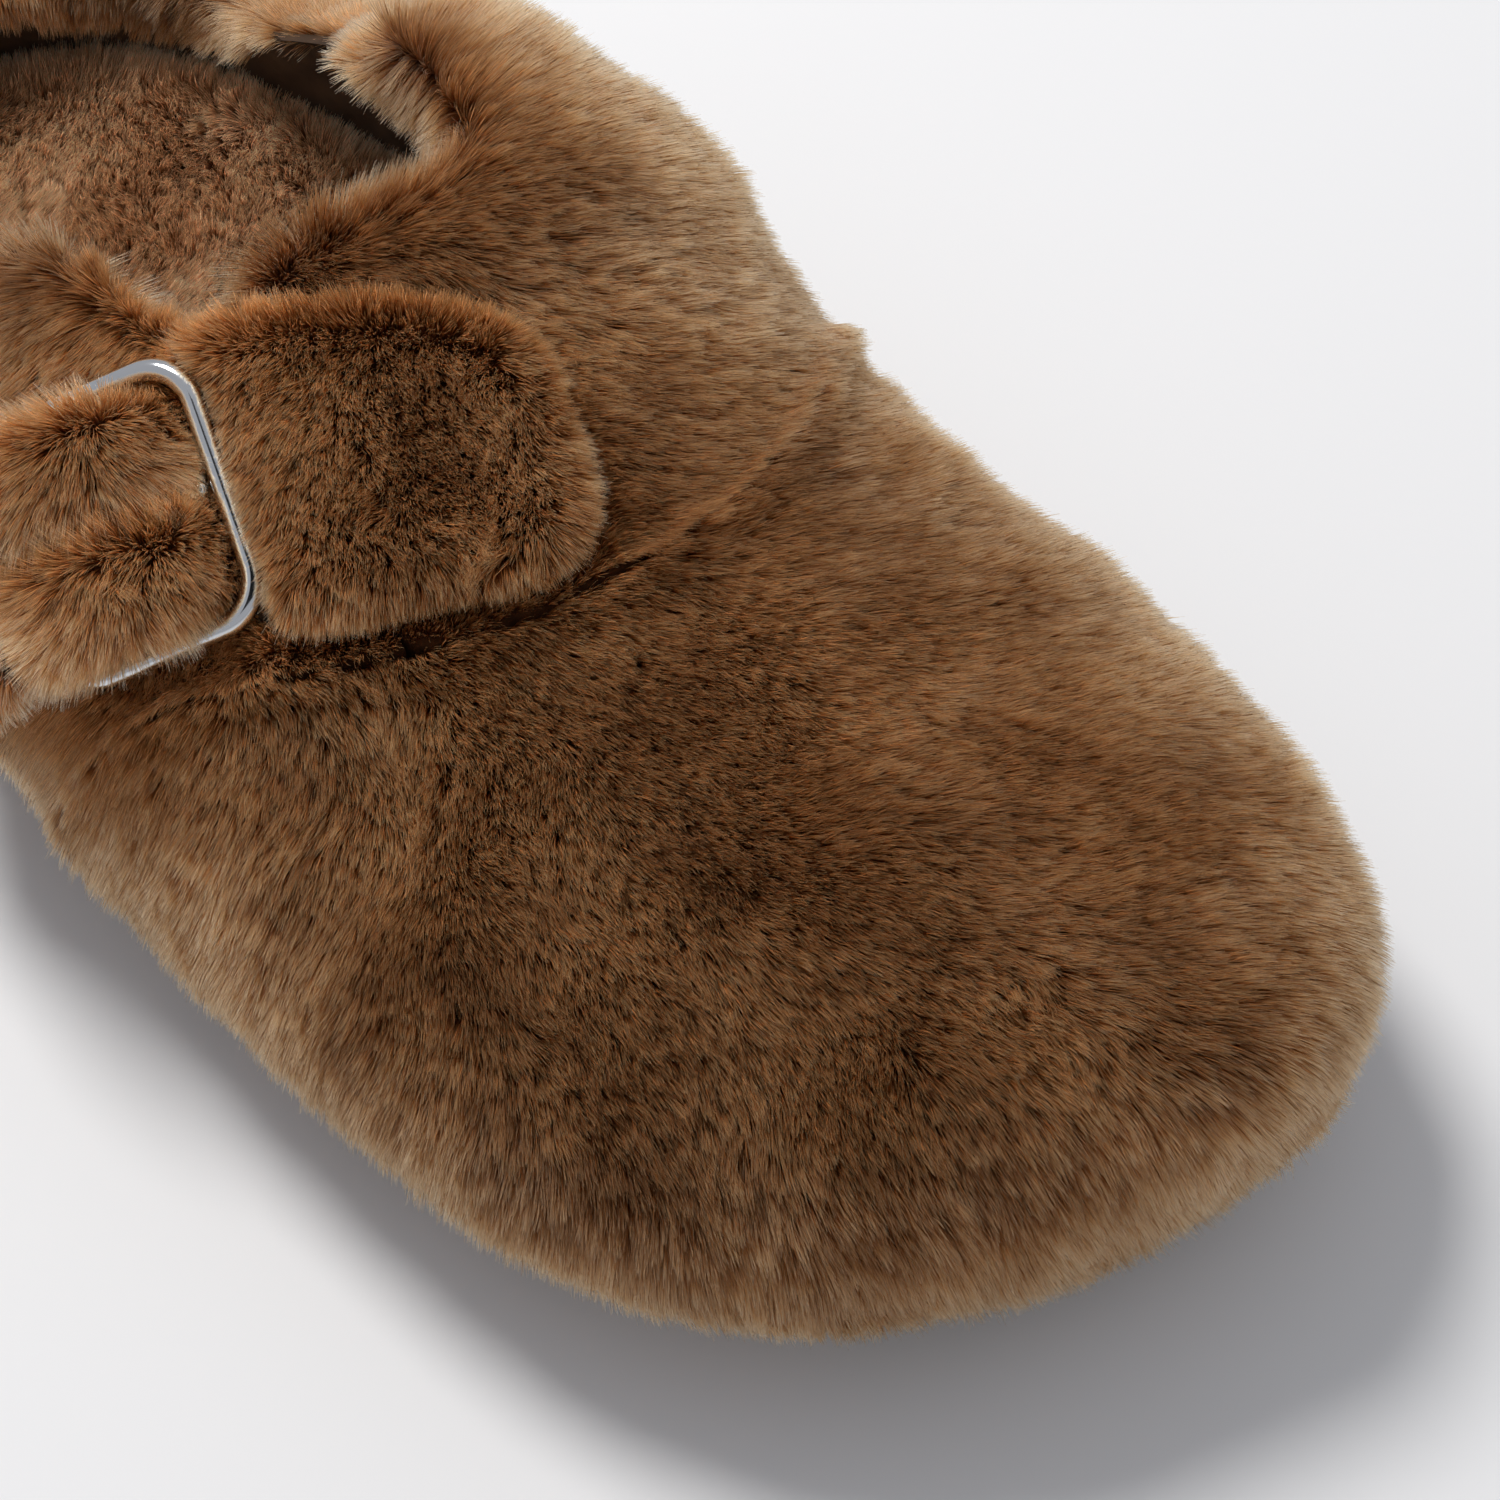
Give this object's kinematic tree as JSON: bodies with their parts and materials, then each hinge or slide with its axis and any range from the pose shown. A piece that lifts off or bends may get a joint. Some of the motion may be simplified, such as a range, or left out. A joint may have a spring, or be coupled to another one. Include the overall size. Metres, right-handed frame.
{
  "type": "house slipper",
  "caption": "Backless right-foot clog slipper in brown shearling, with a contoured footbed, low sole and a buckled instep strap.",
  "frame": {"origin": "bottom centre of the shoe's bounding box, on the floor", "axes": "toe towards -Y, heel towards +Y, inner (big toe) side towards +X, up +Z"},
  "size_m": [0.1394, 0.284, 0.0917],
  "materials": {
    "shearling": "dense brown sheepskin pile, darker at the roots and golden at the tips",
    "fleece": "short brown shearling over the footbed",
    "suede": "dark brown suede",
    "jute": "coarse plain-woven jute",
    "cork": "pressed cork granules",
    "sole_foam": "matt dark brown foam sole",
    "stiffener": "thin thermoplastic sheet",
    "buckle_metal": "polished nickel plate",
    "rivet_metal": "dull brass"
  },
  "bodies": {
    "shoe": {"outsole": "sole_foam", "lower_jute": "jute", "cork_footbed": "cork", "upper_jute": "jute", "footbed_fleece": "fleece", "vamp_shearling": "shearling", "instep_shearling": "shearling", "outer_quarter_shearling": "shearling", "heel_strip_shearling": "shearling", "vamp_lining": "suede", "instep_lining": "suede", "outer_quarter_lining": "suede", "heel_strip_lining": "suede", "toe_puff": "stiffener", "instep_strap": "shearling", "strap_backing": "suede", "buckle_chape": "suede", "chape_rivets": "rivet_metal"},
    "buckle": {"buckle_frame": "buckle_metal"},
    "prong": {"buckle_prong": "buckle_metal"},
    "tail": {"strap_tail": "shearling"}
  },
  "joints": [
    {"name": "buckle_tilt", "type": "hinge", "parent": "shoe", "child": "buckle", "pos_m": [-0.0529, 0.0157, 0.0636], "axis": [-0.2663, -0.8468, -0.4605], "range_deg": [0, 45]},
    {"name": "prong_swing", "type": "hinge", "parent": "buckle", "child": "prong", "pos_m": [-0.0529, 0.0157, 0.0636], "axis": [-0.2663, -0.8468, -0.4605], "range_deg": [0, 40]},
    {"name": "tail_lift", "type": "hinge", "parent": "shoe", "child": "tail", "pos_m": [-0.06105, 0.01609, 0.06761], "axis": [0.2663, 0.8468, 0.4605], "range_deg": [0, 35]}
  ]
}
